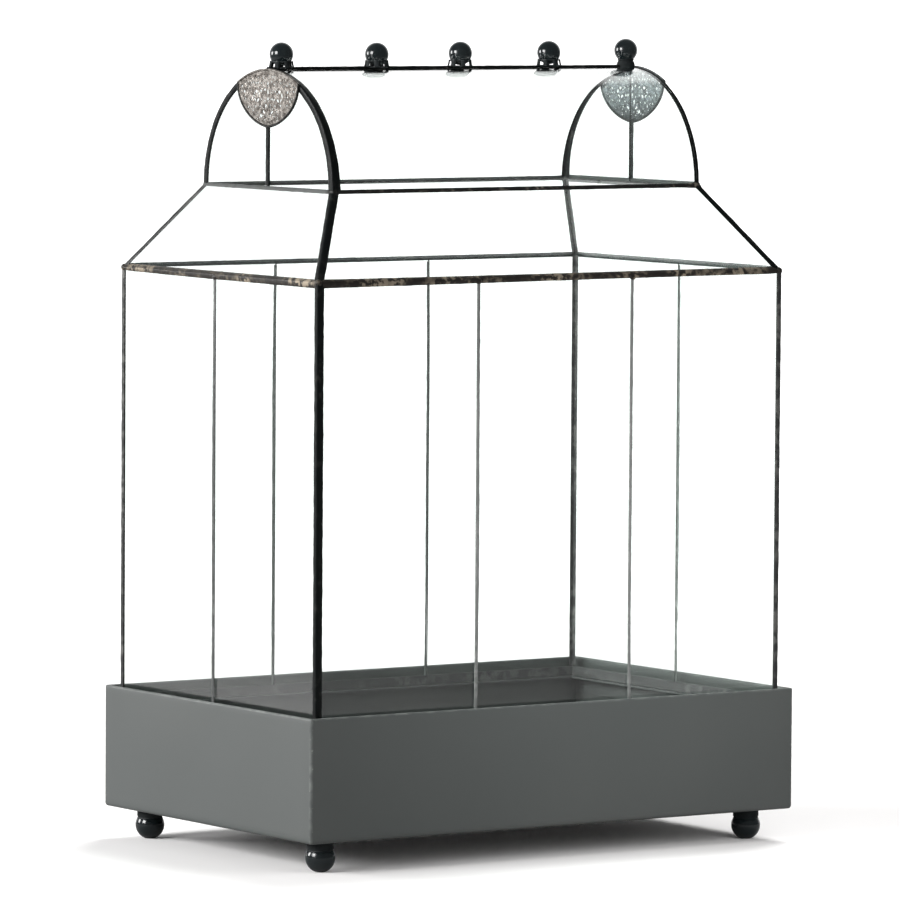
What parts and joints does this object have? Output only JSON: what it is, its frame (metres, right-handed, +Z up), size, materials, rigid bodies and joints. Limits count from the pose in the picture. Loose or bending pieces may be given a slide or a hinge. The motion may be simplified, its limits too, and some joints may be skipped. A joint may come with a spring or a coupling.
{
  "type": "glass plant case",
  "caption": "Terrarium-style glass case with leaning slopes, a vaulted roof and ball finials, which lifts out of a steel tray on ball feet.",
  "frame": {"origin": "on the ground below the middle of the tray", "axes": "+X along the long side, +Y across to the rear long side, +Z up"},
  "size_m": [0.3696, 0.2418, 0.5112],
  "materials": {
    "tray_paint": "satin grey paint on sheet steel",
    "foot_black": "gloss black",
    "screw_steel": "plain zinc-plated steel",
    "clear_glass": "clear, very faint green",
    "dark_solder": "solder with a near-black mottled patina",
    "finial_black": "gloss black",
    "filigree_silver": "aged silver"
  },
  "bodies": {
    "stand": {"tray": "tray_paint", "seat_ledge": "tray_paint", "ball_foot_front_left": "foot_black", "ball_foot_front_right": "foot_black", "ball_foot_rear_right": "foot_black", "ball_foot_rear_left": "foot_black", "foot_screw_front_left": "screw_steel", "foot_screw_front_right": "screw_steel", "foot_screw_rear_right": "screw_steel", "foot_screw_rear_left": "screw_steel"},
    "glass_house": {"base_channel": "dark_solder", "eave_frame": "dark_solder", "shoulder_frame": "dark_solder", "ridge_bar": "dark_solder", "front_pane_1": "clear_glass", "front_pane_2": "clear_glass", "front_pane_3": "clear_glass", "right_pane_1": "clear_glass", "right_pane_2": "clear_glass", "rear_pane_1": "clear_glass", "rear_pane_2": "clear_glass", "rear_pane_3": "clear_glass", "left_pane_1": "clear_glass", "left_pane_2": "clear_glass", "front_bar_1": "dark_solder", "front_bar_2": "dark_solder", "right_bar_1": "dark_solder", "rear_bar_1": "dark_solder", "rear_bar_2": "dark_solder", "left_bar_1": "dark_solder", "front_slope_pane": "clear_glass", "right_slope_pane": "clear_glass", "rear_slope_pane": "clear_glass", "left_slope_pane": "clear_glass", "front_vault_pane": "clear_glass", "rear_vault_pane": "clear_glass", "left_gable_pane_front": "clear_glass", "left_gable_pane_rear": "clear_glass", "right_gable_pane_front": "clear_glass", "right_gable_pane_rear": "clear_glass", "left_gable_bar": "dark_solder", "right_gable_bar": "dark_solder", "corner_post_front_left": "dark_solder", "corner_post_front_right": "dark_solder", "corner_post_rear_right": "dark_solder", "corner_post_rear_left": "dark_solder", "hip_strip_front_left": "dark_solder", "hip_strip_front_right": "dark_solder", "hip_strip_rear_right": "dark_solder", "hip_strip_rear_left": "dark_solder", "left_arch": "dark_solder", "right_arch": "dark_solder", "finial_1": "finial_black", "finial_2": "finial_black", "finial_3": "finial_black", "finial_4": "finial_black", "finial_5": "finial_black", "left_filigree": "filigree_silver", "right_filigree": "filigree_silver"}
  },
  "joints": [
    {"name": "house_lift", "type": "slide", "parent": "stand", "child": "glass_house", "axis": [0, 0, 1], "range_m": [0, 0.3]}
  ]
}
